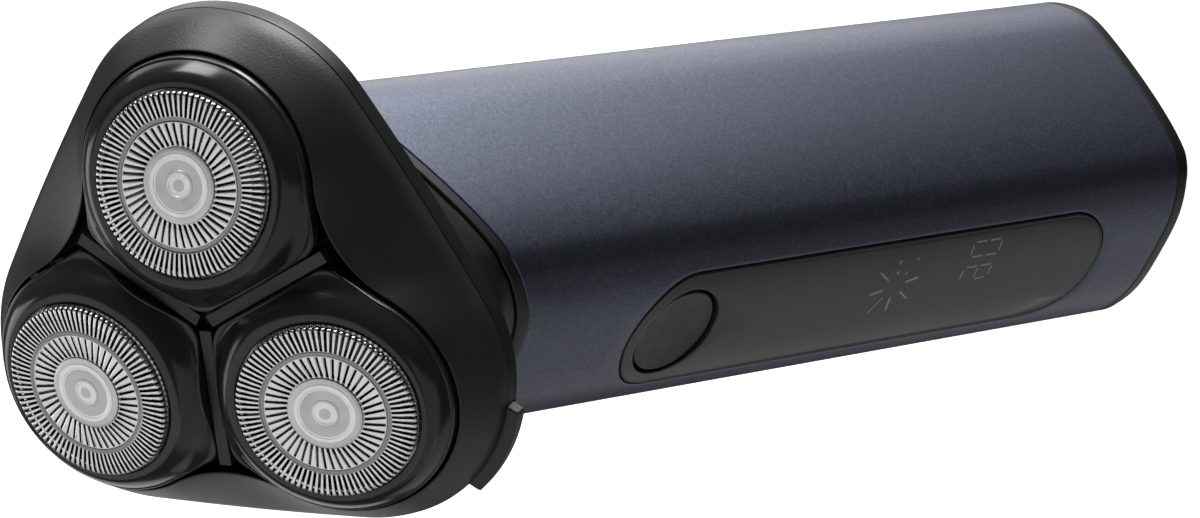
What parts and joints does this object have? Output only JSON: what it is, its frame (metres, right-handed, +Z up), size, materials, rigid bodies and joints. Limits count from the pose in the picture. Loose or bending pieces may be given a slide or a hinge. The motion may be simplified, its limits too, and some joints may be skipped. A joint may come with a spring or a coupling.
{
  "type": "rotary electric shaver",
  "caption": "Cordless rotary electric shaver: slim rounded handle with front panel and power button, tilted flip-open head with floating round cutters.",
  "frame": {"origin": "middle of the flat base that the shaver stands on, under the handle's axis", "axes": "+Z up along the handle to the head, -Y out of the front panel, +X to the right of someone who looks along +Y at the panel"},
  "size_m": [0.0632, 0.0569, 0.164],
  "materials": {
    "metallic_sleeve": "dark blue-grey metallic lacquer with fine flake",
    "black_trim": "semi-gloss moulded black",
    "satin_black": "satin moulded black",
    "gloss_black": "polished moulded black",
    "panel_black": "smoked semi-gloss panel",
    "spun_black": "black disc with spun rings",
    "grey_plastic": "moulded grey",
    "white_nylon": "moulded nylon",
    "rubber": "soft black rubber",
    "polished_steel": "fine ground steel with polished slot edges",
    "steel": "machined steel",
    "magnet": "sintered magnet",
    "copper": "enamelled copper windings on an iron core",
    "nickel": "nickel strip",
    "cell_wrap": "shrink-wrapped metal can",
    "board_green": "solder mask",
    "dark_plastic": "moulded dark plastic",
    "wire_jacket": "wire jacket"
  },
  "bodies": {
    "handle": {"handle_sleeve": "metallic_sleeve", "base_cap": "black_trim", "base_gasket": "rubber", "base_screws": "steel", "inner_chassis": "grey_plastic", "top_collar": "black_trim", "front_panel": "panel_black", "display_module": "dark_plastic", "button_seal": "rubber", "tact_switch": "dark_plastic", "main_board": "board_green", "board_screws": "steel", "usb_port": "steel", "battery_cell": "cell_wrap", "battery_tabs": "nickel", "motor_leads": "wire_jacket", "motor_can": "steel", "motor_magnets": "magnet", "motor_end_bell": "grey_plastic", "gear_plate": "grey_plastic", "plate_screws": "steel", "neck_shell": "black_trim", "hair_chamber": "black_trim", "spindle_seals": "rubber", "hinge_pin": "steel"},
    "motor_rotor": {"motor_armature": "copper", "motor_shaft": "steel", "motor_pinion": "white_nylon"},
    "power_button": {"power_button": "spun_black"},
    "switch_plunger": {"switch_plunger": "dark_plastic"},
    "release_button": {"release_button": "black_trim"},
    "lid": {"head_frame": "satin_black", "hinge_leaf": "black_trim", "cutter_retainer": "grey_plastic"},
    "drive_1": {"drive_gear_1": "white_nylon", "spindle_1": "steel", "drive_head_1": "white_nylon", "spindle_spring_1": "steel"},
    "pod_1": {"pod_1": "gloss_black", "guard_1": "polished_steel", "guard_cap_1": "polished_steel"},
    "cutter_1": {"cutter_1": "steel"},
    "drive_2": {"drive_gear_2": "white_nylon", "spindle_2": "steel", "drive_head_2": "white_nylon", "spindle_spring_2": "steel"},
    "pod_2": {"pod_2": "gloss_black", "guard_2": "polished_steel", "guard_cap_2": "polished_steel"},
    "cutter_2": {"cutter_2": "steel"},
    "drive_3": {"drive_gear_3": "white_nylon", "spindle_3": "steel", "drive_head_3": "white_nylon", "spindle_spring_3": "steel"},
    "pod_3": {"pod_3": "gloss_black", "guard_3": "polished_steel", "guard_cap_3": "polished_steel"},
    "cutter_3": {"cutter_3": "steel"}
  },
  "joints": [
    {"name": "motor_spin", "type": "hinge", "parent": "handle", "child": "motor_rotor", "pos_m": [0, -0.0069, 0.156], "axis": [0, -0.4179, 0.9085], "continuous": true},
    {"name": "power_button_press", "type": "slide", "parent": "handle", "child": "power_button", "axis": [0, 1, 0], "range_m": [0, 0.0005], "stiffness_N_per_m": 800},
    {"name": "switch_press", "type": "slide", "parent": "handle", "child": "switch_plunger", "axis": [0, 1, 0], "range_m": [0, 0.0005]},
    {"name": "release_press", "type": "slide", "parent": "handle", "child": "release_button", "axis": [0, 0.9085, 0.4179], "range_m": [0, 0.001], "stiffness_N_per_m": 800},
    {"name": "lid_hinge", "type": "hinge", "parent": "handle", "child": "lid", "pos_m": [0, 0.02136, 0.15535], "axis": [-1, 0, 0], "range_deg": [0, 95]},
    {"name": "drive_1_spin", "type": "hinge", "parent": "handle", "child": "drive_1", "pos_m": [0, -0.01581, 0.13649], "axis": [0, -0.4179, 0.9085], "continuous": true},
    {"name": "pod_1_tilt", "type": "hinge", "parent": "lid", "child": "pod_1", "pos_m": [0, -0.01973, 0.145], "axis": [1, 0, 0], "range_deg": [-3, 3], "stiffness_Nm_per_rad": 0.05},
    {"name": "cutter_1_spin", "type": "hinge", "parent": "pod_1", "child": "cutter_1", "pos_m": [0, -0.02234, 0.1489], "axis": [0, -0.5577, 0.83], "continuous": true},
    {"name": "drive_2_spin", "type": "hinge", "parent": "handle", "child": "drive_2", "pos_m": [0.01407, 0.00633, 0.14668], "axis": [0, -0.4179, 0.9085], "continuous": true},
    {"name": "pod_2_tilt", "type": "hinge", "parent": "lid", "child": "pod_2", "pos_m": [0.01407, 0.00242, 0.15519], "axis": [-0.5, 0.7868, 0.3619], "range_deg": [-3, 3], "stiffness_Nm_per_rad": 0.05},
    {"name": "cutter_2_spin", "type": "hinge", "parent": "pod_2", "child": "cutter_2", "pos_m": [0.01472, 0.00082, 0.15955], "axis": [0.1385, -0.3399, 0.9302], "continuous": true},
    {"name": "drive_3_spin", "type": "hinge", "parent": "handle", "child": "drive_3", "pos_m": [-0.01407, 0.00633, 0.14668], "axis": [0, -0.4179, 0.9085], "continuous": true},
    {"name": "pod_3_tilt", "type": "hinge", "parent": "lid", "child": "pod_3", "pos_m": [-0.01407, 0.00242, 0.15519], "axis": [-0.5, -0.7868, -0.3619], "range_deg": [-3, 3], "stiffness_Nm_per_rad": 0.05},
    {"name": "cutter_3_spin", "type": "hinge", "parent": "pod_3", "child": "cutter_3", "pos_m": [-0.01472, 0.00082, 0.15955], "axis": [-0.1385, -0.3399, 0.9302], "continuous": true}
  ],
  "couplings": [
    {"joint": "switch_press", "follows": "power_button_press", "ratio": 1},
    {"joint": "drive_1_spin", "follows": "motor_spin", "ratio": -0.47727},
    {"joint": "cutter_1_spin", "follows": "motor_spin", "ratio": -0.47727},
    {"joint": "drive_2_spin", "follows": "motor_spin", "ratio": -0.47727},
    {"joint": "cutter_2_spin", "follows": "motor_spin", "ratio": -0.47727},
    {"joint": "drive_3_spin", "follows": "motor_spin", "ratio": -0.47727},
    {"joint": "cutter_3_spin", "follows": "motor_spin", "ratio": -0.47727}
  ]
}
